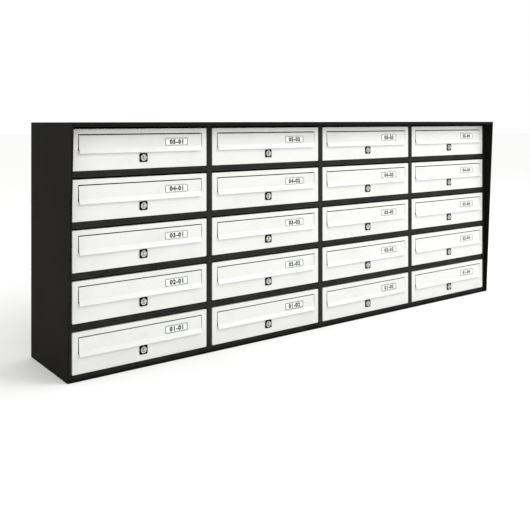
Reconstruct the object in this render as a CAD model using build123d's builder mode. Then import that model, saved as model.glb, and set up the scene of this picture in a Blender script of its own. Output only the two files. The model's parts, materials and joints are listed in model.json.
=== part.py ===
"""Bank of horizontal letterboxes: a sheet-metal casing with a front frame, and one hinged door per box.

Each door lifts outward about its top edge, carries a letter flap that lifts outward too, and has a cam lock.
Millimetres. X runs along the bank, the doors face -Y, Z is up.
The origin is on the underside, at the middle of the overall width and depth.
"""

from build123d import *
import copy
import os

os.makedirs("parts", exist_ok=True)

# layout of the bank
columns = 4
rows = 5
door_width = 372.0
door_height = 100.0
column_gap = 18.0  # from door to door across a mullion
row_gap = 20.0  # from door to door across a rail
side_margin = 14.0  # from the end doors to the outside of the side panels
top_margin = 15.0  # from the top doors to the top of the roof
bottom_margin = 14.0  # from the bottom doors to the underside
body_depth = 240.0  # from the door faces to the back
visor_top = 36.0  # how far the roof stands out past the door faces
visor_bottom = 8.0  # how far the side panels stand out at the floor

# casing sheets
case_sheet = 1.5
inner_sheet = 1.0
hem_width = 4.5  # front edge of a side panel, folded inward
hem_depth = 6.0
roof_lip = 9.5
roof_return = 10.0
notch_play = 0.1  # on each side of a sheet in its notch

# wall fixing holes in the back panel
wall_spacing_x = 1170.0
wall_spacing_z = 480.0
wall_hole_radius = 4.25

# front frame
frame_depth = 18.0
frame_wall = 1.5
frame_set_back = 1.0  # frame's front behind the door faces
mullion_gap = 2.0  # between a door's side and the mullion
head_gap = 4.25  # above a door, room for its top edge to swing
foot_gap = 2.0  # under a door
groove_width = 1.6
groove_depth = 1.0
rail_front_wall = 2.6
strike_sheet = 1.5
strike_rise = 10.0  # strike strip above a door's bottom edge
bumper_radius = 4.0
bumper_inset = 40.0  # from a door's side to a bumper's centre
bumper_rise = 3.0
bumper_gap = 0.3

# door leaf and its hinge pins
leaf_sheet = 1.5
leaf_depth = 12.0
hinge_setback = 6.0  # door axis behind the face
hinge_drop = 7.0  # door axis below the door's top
pin_radius = 2.0
pin_play = 0.05
pin_hold = 3.0  # pin beyond the mullion's wall
pin_reach = 3.0  # pin beyond the leaf's side

# letter flap
flap_side = 17.0  # from the flap's end to the door's side
flap_top = 15.0  # below the door's top
flap_face_share = 0.31  # height of the flap's face, of the door's height
flap_lip = 12.5
flap_lean = 1.2  # how far the face leans out at the lip
flap_flare = 5.3  # how far the lip then stands out
flap_sheet = 1.5
flap_axis_setback = 6.0
knuckle_radius = 3.5
rod_radius = 2.0
rod_reach = 1.5  # rod beyond its lugs
window_above = 2.6  # opening above the flap
window_below = 6.0  # opening below the flap's face, behind its lip
window_side = 2.0  # opening beside the flap
lug_sheet = 2.0
lug_below = 5.5  # lug under the flap's axis
lug_rear = 11.0

# name plate on the flap
plate_width = 65.0
plate_height = 19.0
plate_thickness = 1.2
plate_corner = 2.0
plate_side = 42.3  # from the flap's right end
plate_foot = 2.0  # from the bottom of the flap's face
card_border = 2.0  # window beyond its card
card_thickness = 0.4

# lock
lock_above = 3.25  # lock's axis above the middle of the panel under the flap
lock_plate = 22.0
lock_plate_corner = 3.0
lock_plate_thickness = 1.8
barrel_radius = 8.0
barrel_play = 0.1
barrel_proud = 0.8  # barrel in front of its plate
nut_flats = 24.0
nut_thickness = 4.0
plug_radius = 5.5
plug_play = 0.05
key_width = 1.4
key_height = 7.0
key_depth = 3.0
cam_reach = 24.0
cam_width = 12.0
cam_sheet = 2.0
cam_play = 0.2  # behind the barrel
cam_clear = 0.5  # between the strike strip and the barrel's rear end
screw_radius = 4.0
screw_head = 2.2
screw_round = 0.7
lock_joint_column = 0  # the column whose locks turn as nodes of their own

# rivets through the strike strips into the uprights
rivet_radius = 2.0
rivet_head = 0.9
rivet_shank_radius = 1.2
rivet_grip = 3.2  # shank behind the head

# worked out
column_pitch = door_width + column_gap
row_pitch = door_height + row_gap
width = columns * door_width + (columns - 1) * column_gap + 2 * side_margin
height = rows * door_height + (rows - 1) * row_gap + top_margin + bottom_margin
depth = body_depth + visor_top
front_y = -depth / 2
face_y = front_y + visor_top
back_y = face_y + body_depth
half_inside = width / 2 - case_sheet
frame_front = face_y + frame_set_back
frame_rear = face_y + frame_depth
strike_rear = frame_rear + strike_sheet
back_inside = back_y - case_sheet
barrel_rear = strike_rear + cam_clear
mullion_width = column_gap - 2 * mullion_gap
mullion_count = columns - 1
jamb_width = side_margin - case_sheet - mullion_gap
rail_length = door_width + 2 * mullion_gap
floor_top = case_sheet
roof_under = height - case_sheet
hem_room = hem_width - case_sheet + notch_play  # what a hem takes of a sheet between the sides

flap_width = door_width - 2 * flap_side
flap_face = door_height * flap_face_share
flap_axis_drop = flap_top + knuckle_radius
window_top = flap_top - window_above
window_bottom = flap_top + flap_face + window_below
plate_x = flap_width / 2 - plate_side - plate_width / 2
plate_drop = flap_face - plate_foot - plate_height / 2  # along the flap's face
card_width = plate_width - 2 * card_border
card_height = plate_height - 2 * card_border
lock_drop = (window_bottom + door_height) / 2 - lock_above

LOW = (Align.CENTER, Align.MIN, Align.MIN)


def column_x(column):
    """Middle of a column of boxes."""
    return (column - (columns - 1) / 2) * column_pitch


def mullion_x(gap):
    """Middle of the gap after a column."""
    return column_x(gap) + column_pitch / 2


def door_top(row):
    return height - top_margin - row * row_pitch


def door_bottom(row):
    return door_top(row) - door_height


def shelf_z(gap):
    """Middle of the gap under a row of doors."""
    return door_bottom(gap) - row_gap / 2


def side_front(z):
    """Front edge of the side panels, which taper from the roof to the floor."""
    return front_y + (visor_top - visor_bottom) * (height - z) / height


def write(name, *pieces):
    """One STEP for a node, with each piece in it as its own solid."""
    if len(pieces) == 1:
        node = pieces[0]
    else:
        node = Compound(children=list(pieces))
    node.label = name
    export_step(node, f"parts/{name}.step")


# ---- casing ----


def side_panel(sheet_x, hem_x):
    """A sheet with a tapered front edge that is hemmed inward."""
    with BuildPart() as panel:
        with BuildSketch(Plane.YZ.offset(sheet_x)):
            Polygon(
                (side_front(0), 0),
                (back_y, 0),
                (back_y, height),
                (front_y, height),
                align=None,
            )
        extrude(amount=case_sheet)
        with BuildSketch(Plane.YZ.offset(hem_x)):
            Polygon(
                (side_front(0), 0),
                (side_front(0) + hem_depth, 0),
                (front_y + hem_depth, height),
                (front_y, height),
                align=None,
            )
        extrude(amount=hem_width)
    return panel.part


write("left_side_panel", side_panel(-width / 2, -width / 2))
write("right_side_panel", side_panel(half_inside, width / 2 - hem_width))

# the roof and the base are notched at their front corners for the sides' hems
lip_hem_rear = side_front(height - roof_lip) + hem_depth + notch_play
with BuildPart() as roof_panel:
    with Locations((0, front_y, roof_under)):
        Box(2 * half_inside, depth, case_sheet, align=LOW)
    with Locations((0, front_y, height - roof_lip)):
        Box(2 * half_inside, case_sheet, roof_lip, align=LOW)
        Box(2 * half_inside, roof_return, case_sheet, align=LOW)
    with Locations((0, front_y, height - roof_lip)), GridLocations(2 * half_inside, 0, 2, 1):
        Box(2 * hem_room, lip_hem_rear - front_y, roof_lip, align=LOW, mode=Mode.SUBTRACT)
write("roof_panel", roof_panel.part)

with BuildPart() as base_panel:
    with Locations((0, side_front(0), 0)):
        Box(2 * half_inside, back_y - side_front(0), case_sheet, align=LOW)
        with GridLocations(2 * half_inside, 0, 2, 1):
            Box(2 * hem_room, hem_depth + notch_play, case_sheet, align=LOW, mode=Mode.SUBTRACT)
write("base_panel", base_panel.part)

wall_z = (door_top(0) + door_bottom(rows - 1)) / 2
with BuildPart() as back_panel:
    with BuildSketch(Plane.XZ.offset(-back_y)):
        with Locations((0, height / 2)):
            Rectangle(2 * half_inside, height - 2 * case_sheet)
        with Locations((0, wall_z)):
            with GridLocations(wall_spacing_x, wall_spacing_z, 2, 2):
                Circle(wall_hole_radius, mode=Mode.SUBTRACT)
    extrude(amount=case_sheet)
write("back_panel", back_panel.part)

# shelves and dividers slot into each other, the shelves from behind and the dividers from in front
cell_depth = back_inside - strike_rear
notch = inner_sheet + 2 * notch_play
with BuildPart() as shelves:
    for gap in range(rows - 1):
        with Locations((0, strike_rear, shelf_z(gap) - inner_sheet / 2)):
            Box(2 * half_inside, cell_depth, inner_sheet, align=LOW)
        for upright in range(mullion_count):
            with Locations((mullion_x(upright), back_inside, shelf_z(gap))):
                Box(
                    notch,
                    cell_depth / 2 + notch_play,
                    notch,
                    align=(Align.CENTER, Align.MAX, Align.CENTER),
                    mode=Mode.SUBTRACT,
                )
write("shelves", shelves.part)

with BuildPart() as column_dividers:
    for upright in range(mullion_count):
        with Locations((mullion_x(upright), strike_rear, floor_top)):
            Box(inner_sheet, cell_depth, roof_under - floor_top, align=LOW)
        for gap in range(rows - 1):
            with Locations((mullion_x(upright), strike_rear, shelf_z(gap))):
                Box(
                    notch,
                    cell_depth / 2 + notch_play,
                    notch,
                    align=(Align.CENTER, Align.MIN, Align.CENTER),
                    mode=Mode.SUBTRACT,
                )
write("column_dividers", column_dividers.part)

# ---- front frame ----


def hinge_z(row):
    return door_top(row) - hinge_drop


hinge_y = face_y + hinge_setback


def strike_bounds(row):
    """Bottom and top of the strip that a row's cams lock behind."""
    low = floor_top if row == rows - 1 else door_top(row + 1) + head_gap
    return low, door_bottom(row) + strike_rise


def rivet_z(row):
    return sum(strike_bounds(row)) / 2


def upright_tubes(places, tube_width):
    """Full-height hollow uprights, drilled for the hinge pins and, at the rear, for the rivets."""
    tube_height = roof_under - floor_top
    tube_depth = frame_rear - frame_front
    with BuildPart() as tubes:
        for x in places:
            with Locations((x, frame_front, floor_top)):
                Box(tube_width, tube_depth, tube_height, align=LOW)
            with Locations((x, frame_front + frame_wall, floor_top)):
                Box(
                    tube_width - 2 * frame_wall,
                    tube_depth - 2 * frame_wall,
                    tube_height,
                    align=LOW,
                    mode=Mode.SUBTRACT,
                )
            for row in range(rows):
                with Locations((x, hinge_y, hinge_z(row))):
                    Cylinder(
                        pin_radius,
                        tube_width,
                        rotation=(0, 90, 0),
                        mode=Mode.SUBTRACT,
                    )
        for row in range(rows):
            for x in rivet_places:
                with Locations((x, frame_rear, rivet_z(row))):
                    Cylinder(
                        rivet_shank_radius,
                        2 * frame_wall,
                        rotation=(90, 0, 0),
                        mode=Mode.SUBTRACT,
                    )
    return tubes.part


# each rivet on a mullion stands midway between the divider behind it and the tube's side wall
nearest = inner_sheet / 2 + rivet_radius
farthest = mullion_width / 2 - frame_wall - rivet_shank_radius
rivet_side = (nearest + farthest) / 2
jamb_x = half_inside - jamb_width / 2
mullions = [mullion_x(upright) for upright in range(mullion_count)]
rivet_places = [-jamb_x, jamb_x]
for x in mullions:
    rivet_places += [x - rivet_side, x + rivet_side]
write("mullions", upright_tubes(mullions, mullion_width))
write("side_jambs", upright_tubes([-jamb_x, jamb_x], jamb_width))


def rail_bounds(level):
    """Bottom and top of the rail over a row of doors, or under the last one."""
    low = floor_top if level == rows else door_top(level) + head_gap
    high = roof_under if level == 0 else door_bottom(level - 1) - foot_gap
    return low, high


with BuildPart() as door_rails:
    for level in range(rows + 1):
        low, high = rail_bounds(level)
        middle = (low + high) / 2
        for column in range(columns):
            start = column_x(column) - rail_length / 2
            with BuildSketch(Plane.YZ.offset(start)):
                with Locations((frame_front, low)):
                    Rectangle(
                        frame_rear - frame_front,
                        high - low,
                        align=(Align.MIN, Align.MIN),
                    )
                with Locations((frame_front, middle)):
                    Rectangle(
                        2 * groove_depth,
                        groove_width,
                        mode=Mode.SUBTRACT,
                    )
                with Locations((frame_front + rail_front_wall, middle)):
                    Rectangle(
                        frame_rear - frame_front - rail_front_wall - frame_wall,
                        high - low - 2 * frame_wall,
                        align=(Align.MIN, Align.CENTER),
                        mode=Mode.SUBTRACT,
                    )
            extrude(amount=rail_length)
write("door_rails", door_rails.part)

with BuildPart() as strike_strips:
    for row in range(rows):
        low, high = strike_bounds(row)
        with Locations((0, frame_rear, low)):
            Box(2 * half_inside, strike_sheet, high - low, align=LOW)
        for x in rivet_places:
            with Locations((x, frame_rear, rivet_z(row))):
                Cylinder(
                    rivet_shank_radius,
                    3 * strike_sheet,
                    rotation=(90, 0, 0),
                    mode=Mode.SUBTRACT,
                )
write("strike_strips", strike_strips.part)

with BuildPart() as frame_rivets:
    for row in range(rows):
        for x in rivet_places:
            spot = Plane(origin=(x, strike_rear, rivet_z(row)), z_dir=(0, 1, 0))
            with BuildSketch(spot):
                Circle(rivet_radius)
            extrude(amount=rivet_head)
            with BuildSketch(spot):
                Circle(rivet_shank_radius)
            extrude(amount=-rivet_grip)
write("frame_rivets", frame_rivets.part)

bumper_x = door_width / 2 - bumper_inset
bumper_length = frame_depth - leaf_depth - bumper_gap
with BuildPart() as door_bumpers:
    for column in range(columns):
        for row in range(rows):
            for side in (-1, 1):
                spot = Plane(
                    origin=(
                        column_x(column) + side * bumper_x,
                        frame_rear,
                        door_bottom(row) + bumper_rise,
                    ),
                    z_dir=(0, -1, 0),
                )
                with BuildSketch(spot):
                    Circle(bumper_radius)
                extrude(amount=bumper_length)
write("door_bumpers", door_bumpers.part)

pin_length = pin_hold + frame_wall + mullion_gap + leaf_sheet + pin_reach
pin_end = door_width / 2 + mullion_gap + frame_wall + pin_hold
with BuildPart() as door_hinge_pins:
    for column in range(columns):
        for row in range(rows):
            for side in (-1, 1):
                x = column_x(column) + side * (pin_end - pin_length / 2)
                with Locations((x, hinge_y, hinge_z(row))):
                    Cylinder(pin_radius, pin_length, rotation=(0, 90, 0))
write("door_hinge_pins", door_hinge_pins.part)

# ---- one door, made at the middle of the bank with its top edge at Z = 0, then copied to each box ----

window_half = flap_width / 2 + window_side
window_height = window_bottom - window_top
lug_x = window_half + lug_sheet / 2
lug_height = flap_axis_drop + lug_below - window_top
flap_axis_y = face_y + flap_axis_setback

with BuildPart() as leaf:
    with Locations((0, face_y, -door_height)):
        Box(door_width, leaf_depth, door_height, align=LOW)
    with Locations((0, face_y + leaf_sheet, -door_height + leaf_sheet)):
        Box(
            door_width - 2 * leaf_sheet,
            leaf_depth,
            door_height - 2 * leaf_sheet,
            align=LOW,
            mode=Mode.SUBTRACT,
        )
    with Locations((0, face_y, -window_bottom)):
        Box(2 * window_half, leaf_depth, window_height, align=LOW, mode=Mode.SUBTRACT)
    with Locations((0, face_y, -window_bottom - leaf_sheet)):
        Box(2 * window_half, leaf_depth, leaf_sheet, align=LOW)
    for side in (-1, 1):
        with Locations((side * lug_x, face_y, -window_top - lug_height)):
            Box(lug_sheet, lug_rear, lug_height, align=LOW)
    with Locations((0, flap_axis_y, -flap_axis_drop)):
        Cylinder(
            rod_radius + pin_play,
            2 * (lug_x + lug_sheet),
            rotation=(0, 90, 0),
            mode=Mode.SUBTRACT,
        )
    with Locations((0, hinge_y, -hinge_drop)):
        Cylinder(
            pin_radius + pin_play,
            2 * door_width,
            rotation=(0, 90, 0),
            mode=Mode.SUBTRACT,
        )
    with Locations((0, face_y, -lock_drop)):
        Cylinder(
            barrel_radius + barrel_play,
            2 * leaf_sheet,
            rotation=(90, 0, 0),
            mode=Mode.SUBTRACT,
        )


def lock_plane(y):
    """Square to the lock's axis, looking out of the front."""
    return Plane(origin=(0, y, -lock_drop), x_dir=(1, 0, 0), z_dir=(0, -1, 0))


barrel_front = face_y - lock_plate_thickness - barrel_proud

with BuildPart() as escutcheon:
    with BuildSketch(lock_plane(face_y)):
        RectangleRounded(lock_plate, lock_plate, lock_plate_corner)
        Circle(barrel_radius + barrel_play, mode=Mode.SUBTRACT)
    extrude(amount=lock_plate_thickness)

with BuildPart() as barrel:
    with BuildSketch(lock_plane(barrel_rear)):
        Circle(barrel_radius)
        Circle(plug_radius + plug_play, mode=Mode.SUBTRACT)
    extrude(amount=barrel_rear - barrel_front)

with BuildPart() as barrel_nut:
    with BuildSketch(lock_plane(face_y + leaf_sheet + nut_thickness)):
        RegularPolygon(nut_flats / 2, 6, major_radius=False)
        Circle(barrel_radius, mode=Mode.SUBTRACT)
    extrude(amount=nut_thickness)

cam_front = barrel_rear + cam_play
with BuildPart() as plug:
    with BuildSketch(lock_plane(cam_front)):
        Circle(plug_radius)
    extrude(amount=cam_front - barrel_front)
    with Locations((0, barrel_front, -lock_drop)):
        Box(key_width, 2 * key_depth, key_height, mode=Mode.SUBTRACT)

with BuildPart() as cam:
    with BuildSketch(lock_plane(cam_front + cam_sheet)):
        with Locations(((cam_reach - cam_width / 2) / 2, 0)):
            SlotCenterToCenter(cam_reach - cam_width / 2, cam_width)
    extrude(amount=cam_sheet)

with BuildPart() as cam_screw:
    with BuildSketch(lock_plane(cam_front + cam_sheet + screw_head)):
        Circle(screw_radius)
    extrude(amount=screw_head)
    fillet(cam_screw.faces().sort_by(Axis.Y)[-1].edges(), screw_round)

# ---- one letter flap, in the same place ----

with BuildPart() as flap_blade:
    lip_z = -flap_top - flap_face
    lip_end = lip_z - flap_lip
    with BuildSketch(Plane.YZ.offset(-flap_width / 2)):
        with BuildLine():
            outer = Polyline(
                (flap_axis_y, -flap_top),
                (face_y, -flap_top),
                (face_y - flap_lean, lip_z),
                (face_y - flap_lean - flap_flare, lip_end),
            )
            offset(outer, flap_sheet, side=Side.LEFT, kind=Kind.INTERSECTION)
        make_face()
        with Locations((flap_axis_y, -flap_axis_drop)):
            Circle(knuckle_radius)
            Circle(rod_radius, mode=Mode.SUBTRACT)
    extrude(amount=flap_width)

rod_length = 2 * (window_half + lug_sheet + rod_reach)
with BuildPart() as flap_rod:
    with Locations((0, flap_axis_y, -flap_axis_drop)):
        Cylinder(rod_radius, rod_length, rotation=(0, 90, 0))

face_plane = Plane(
    origin=(0, face_y, -flap_top),
    x_dir=(1, 0, 0),
    z_dir=(0, -flap_face, flap_lean),
)
with BuildPart() as name_window:
    with BuildSketch(face_plane):
        with Locations((plate_x, -plate_drop)):
            RectangleRounded(plate_width, plate_height, plate_corner)
    extrude(amount=plate_thickness)
    with BuildSketch(face_plane):
        with Locations((plate_x, -plate_drop)):
            Rectangle(card_width, card_height)
    extrude(amount=card_thickness, mode=Mode.SUBTRACT)

with BuildPart() as name_card:
    with BuildSketch(face_plane):
        with Locations((plate_x, -plate_drop)):
            Rectangle(card_width, card_height)
    extrude(amount=card_thickness)

leaf_pieces = [leaf.part, escutcheon.part, barrel.part, barrel_nut.part]
plug_pieces = [plug.part, cam.part, cam_screw.part]
flap_pieces = [flap_blade.part, flap_rod.part, name_window.part, name_card.part]


def put(pieces, column, row):
    """Copies of the pieces, moved from the middle of the bank to a box."""
    place = Location((column_x(column), 0, door_top(row)))
    return [copy.copy(piece).moved(place) for piece in pieces]


for row in range(rows):
    for column in range(columns):
        number = f"{row * columns + column + 1:02d}"
        if column == lock_joint_column:
            write(f"door_{number}", *put(leaf_pieces, column, row))
            write(f"lock_plug_{number}", *put(plug_pieces, column, row))
        else:
            write(f"door_{number}", *put(leaf_pieces + plug_pieces, column, row))
        write(f"flap_{number}", *put(flap_pieces, column, row))
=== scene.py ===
import json
import math

import bmesh
import bpy
from mathutils import Euler, Matrix, Vector


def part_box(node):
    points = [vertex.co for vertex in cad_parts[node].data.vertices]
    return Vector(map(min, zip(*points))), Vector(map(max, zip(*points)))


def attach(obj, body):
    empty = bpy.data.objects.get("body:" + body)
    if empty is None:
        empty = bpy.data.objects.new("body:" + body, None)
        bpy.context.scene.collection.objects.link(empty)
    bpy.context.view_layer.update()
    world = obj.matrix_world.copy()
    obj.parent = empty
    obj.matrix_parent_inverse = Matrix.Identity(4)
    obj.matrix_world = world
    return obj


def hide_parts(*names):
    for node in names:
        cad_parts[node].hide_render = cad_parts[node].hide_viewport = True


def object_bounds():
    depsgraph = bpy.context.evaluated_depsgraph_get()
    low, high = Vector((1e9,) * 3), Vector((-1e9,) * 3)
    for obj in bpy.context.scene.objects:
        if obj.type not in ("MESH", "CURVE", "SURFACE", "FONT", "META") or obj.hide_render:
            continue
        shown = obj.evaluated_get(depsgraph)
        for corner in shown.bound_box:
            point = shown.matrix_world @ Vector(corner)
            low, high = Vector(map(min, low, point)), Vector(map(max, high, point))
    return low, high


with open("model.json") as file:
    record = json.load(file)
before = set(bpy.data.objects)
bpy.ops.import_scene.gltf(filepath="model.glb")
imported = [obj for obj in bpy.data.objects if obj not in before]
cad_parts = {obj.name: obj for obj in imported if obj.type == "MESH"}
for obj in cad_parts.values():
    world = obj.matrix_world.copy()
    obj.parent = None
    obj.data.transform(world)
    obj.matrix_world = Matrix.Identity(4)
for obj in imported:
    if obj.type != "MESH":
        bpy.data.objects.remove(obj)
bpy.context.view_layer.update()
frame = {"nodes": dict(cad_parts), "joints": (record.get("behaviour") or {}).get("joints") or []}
mm = 0.001
print("frame loaded:", len(frame["nodes"]), "nodes")

# places that the frame gives

joints = {joint["name"]: joint for joint in frame["joints"]}
boxNumbers = sorted(name[5:] for name in frame["nodes"] if name.startswith("door_") and name[5:].isdigit())
turningLocks = [number for number in boxNumbers if "lock_plug_" + number in frame["nodes"]]
bankLow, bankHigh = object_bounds()
doorLow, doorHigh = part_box("door_" + turningLocks[0])
doorSize = {"width": doorHigh.x - doorLow.x, "height": doorHigh.z - doorLow.z}
lockAxis = Vector(joints["lock_" + turningLocks[0] + "_turn"]["pos_m"])
flapAxis = Vector(joints["flap_" + turningLocks[0] + "_hinge"]["pos_m"])
faceY = lockAxis.y  # the plane of the door faces
lockDrop = doorHigh.z - lockAxis.z  # from a door's top edge down to its lock
flapDrop = doorHigh.z - flapAxis.z  # and down to its flap's rod
flapSetBack = flapAxis.y - faceY


def doorSpot(number):
    low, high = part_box("door_" + number)
    return Vector(((low.x + high.x) / 2, faceY, high.z))  # middle of the door's top edge


# colours and nodes


def linear(hexCode):
    channels = [int(hexCode[i:i + 2], 16) / 255 for i in (1, 3, 5)]
    return tuple(c / 12.92 if c <= 0.04045 else ((c + 0.055) / 1.055) ** 2.4 for c in channels) + (1.0,)


def addNode(tree, kind, settings=None, links=None):
    node = tree.nodes.new(kind)
    for name, value in (settings or {}).items():
        if name == "stops":  # the places and colours of a colour ramp
            for element, (spot, colour) in zip(node.color_ramp.elements, value):
                element.position = spot
                element.color = colour
        elif isinstance(name, int) or name in node.inputs:
            node.inputs[name].default_value = value
        else:
            setattr(node, name, value)
    for name, source in (links or {}).items():
        tree.links.new(source, node.inputs[name])
    return node


def newMaterial(name):
    material = bpy.data.materials.new(name)
    material.use_nodes = True
    material.node_tree.nodes.clear()
    return material, material.node_tree


def grey(value):
    return (value, value, value, 1.0)


def perMillimetre(size):
    return 1000 / size  # a pattern's scale, for one repeat in this many millimetres


# materials

whiteCoatLook = {"colour": "#D6D7D3", "shade": "#CFD0CB", "roughness": 0.3, "tone": 95, "dust": 2.4,
                 "peel": 1.9, "peelHeight": 0.012}


def semiGlossPowderCoat():
    # polyester powder baked on steel: an even white skin whose faint orange peel softens its reflections
    material, tree = newMaterial("semiGlossPowderCoatWhite")
    place = addNode(tree, "ShaderNodeTexCoord").outputs["Object"]
    own = addNode(tree, "ShaderNodeObjectInfo").outputs["Random"]
    offset = addNode(tree, "ShaderNodeMath", {"operation": "MULTIPLY", 1: 40.0}, {0: own}).outputs[0]
    tone = addNode(tree, "ShaderNodeTexNoise",
                   {"noise_dimensions": "4D", "Scale": perMillimetre(whiteCoatLook["tone"]), "Detail": 3.0,
                    "Roughness": 0.55}, {"Vector": place, "W": offset})
    dust = addNode(tree, "ShaderNodeTexNoise", {"Scale": perMillimetre(whiteCoatLook["dust"]), "Detail": 4.0},
                   {"Vector": place})
    peel = addNode(tree, "ShaderNodeTexNoise", {"Scale": perMillimetre(whiteCoatLook["peel"]), "Detail": 1.5},
                   {"Vector": place})
    mixed = addNode(tree, "ShaderNodeMath", {"operation": "MULTIPLY_ADD", 1: 0.22},
                    {0: dust.outputs["Fac"], 2: tone.outputs["Fac"]})
    colour = addNode(tree, "ShaderNodeValToRGB",
                     {"stops": [(0.38, linear(whiteCoatLook["shade"])),
                                (0.62, linear(whiteCoatLook["colour"]))]},
                     {"Fac": mixed.outputs[0]}).outputs["Color"]
    gloss = addNode(tree, "ShaderNodeMapRange",
                    {"From Min": 0.3, "From Max": 0.7, "To Min": whiteCoatLook["roughness"] - 0.05,
                     "To Max": whiteCoatLook["roughness"] + 0.06}, {"Value": dust.outputs["Fac"]})
    bump = addNode(tree, "ShaderNodeBump", {"Strength": 0.5, "Distance": whiteCoatLook["peelHeight"] * mm},
                   {"Height": peel.outputs["Fac"]})
    shader = addNode(tree, "ShaderNodeBsdfPrincipled", {"IOR": 1.5},
                     {"Base Color": colour, "Roughness": gloss.outputs[0], "Normal": bump.outputs[0]})
    addNode(tree, "ShaderNodeOutputMaterial", links={"Surface": shader.outputs[0]})
    return material


darkCoatLook = {"colour": "#17150F", "shade": "#100F0A", "fleck": "#23211C", "roughness": 0.72, "sheen": 0.1,
                "patch": 140, "fleckSize": 3.1, "grain": 0.9, "grainHeight": 0.05}


def fineTexturePowderCoat():
    # fine-texture polyester powder: a matt skin of tiny pimples, drawn coarser than real so that they show
    material, tree = newMaterial("fineTexturePowderCoatAnthracite")
    place = addNode(tree, "ShaderNodeTexCoord").outputs["Object"]
    grain = addNode(tree, "ShaderNodeTexNoise",
                    {"Scale": perMillimetre(darkCoatLook["grain"]), "Detail": 3.0, "Roughness": 0.6},
                    {"Vector": place})
    patch = addNode(tree, "ShaderNodeTexNoise",
                    {"Scale": perMillimetre(darkCoatLook["patch"]), "Detail": 4.0}, {"Vector": place})
    fleck = addNode(tree, "ShaderNodeTexNoise",
                    {"Scale": perMillimetre(darkCoatLook["fleckSize"]), "Detail": 6.0, "Roughness": 0.75},
                    {"Vector": place})
    base = addNode(tree, "ShaderNodeValToRGB",
                   {"stops": [(0.35, linear(darkCoatLook["shade"])), (0.65, linear(darkCoatLook["colour"]))]},
                   {"Fac": patch.outputs["Fac"]}).outputs["Color"]
    spots = addNode(tree, "ShaderNodeValToRGB",
                    {"stops": [(0.5, grey(0.0)), (0.72, grey(0.6))]},
                    {"Fac": fleck.outputs["Fac"]}).outputs["Color"]
    colour = addNode(tree, "ShaderNodeMixRGB", {"Color2": linear(darkCoatLook["fleck"])},
                     {"Fac": spots, "Color1": base}).outputs[0]
    gloss = addNode(tree, "ShaderNodeMapRange",
                    {"From Min": 0.35, "From Max": 0.65, "To Min": darkCoatLook["roughness"] - 0.06,
                     "To Max": darkCoatLook["roughness"] + 0.08}, {"Value": grain.outputs["Fac"]})
    bump = addNode(tree, "ShaderNodeBump", {"Strength": 0.7, "Distance": darkCoatLook["grainHeight"] * mm},
                   {"Height": grain.outputs["Fac"]})
    shader = addNode(tree, "ShaderNodeBsdfPrincipled",
                     {"IOR": 1.35, "Specular IOR Level": darkCoatLook["sheen"]},
                     {"Base Color": colour, "Roughness": gloss.outputs[0], "Normal": bump.outputs[0]})
    addNode(tree, "ShaderNodeOutputMaterial", links={"Surface": shader.outputs[0]})
    return material


barCoatLook = {"colour": "#232320", "shade": "#1A1A18", "roughness": 0.5, "sheen": 0.16, "patch": 60,
               "draw": 0.7, "drawHeight": 0.008}


def satinCoatedExtrusion():
    # aluminium pressed through a die, then satin coated: long faint lines along the bar under a dark sheen
    material, tree = newMaterial("satinCoatedExtrusionDark")
    place = addNode(tree, "ShaderNodeTexCoord").outputs["Object"]
    stretch = addNode(tree, "ShaderNodeMapping", {"Scale": (0.02, 1.0, 1.0)}, {"Vector": place})
    lines = addNode(tree, "ShaderNodeTexNoise", {"Scale": perMillimetre(barCoatLook["draw"]), "Detail": 2.0},
                    {"Vector": stretch.outputs[0]})
    patch = addNode(tree, "ShaderNodeTexNoise", {"Scale": perMillimetre(barCoatLook["patch"]), "Detail": 3.0},
                    {"Vector": place})
    colour = addNode(tree, "ShaderNodeValToRGB",
                     {"stops": [(0.35, linear(barCoatLook["shade"])), (0.65, linear(barCoatLook["colour"]))]},
                     {"Fac": patch.outputs["Fac"]}).outputs["Color"]
    gloss = addNode(tree, "ShaderNodeMapRange",
                    {"From Min": 0.3, "From Max": 0.7, "To Min": barCoatLook["roughness"] - 0.06,
                     "To Max": barCoatLook["roughness"] + 0.06}, {"Value": lines.outputs["Fac"]})
    bump = addNode(tree, "ShaderNodeBump", {"Strength": 0.5, "Distance": barCoatLook["drawHeight"] * mm},
                   {"Height": lines.outputs["Fac"]})
    shader = addNode(tree, "ShaderNodeBsdfPrincipled",
                     {"IOR": 1.4, "Specular IOR Level": barCoatLook["sheen"]},
                     {"Base Color": colour, "Roughness": gloss.outputs[0], "Normal": bump.outputs[0]})
    addNode(tree, "ShaderNodeOutputMaterial", links={"Surface": shader.outputs[0]})
    return material


zincLook = {"bright": "#B9BDBF", "dull": "#8F9496", "roughness": 0.4, "spangle": 14.0, "haze": 5.0}


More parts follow.
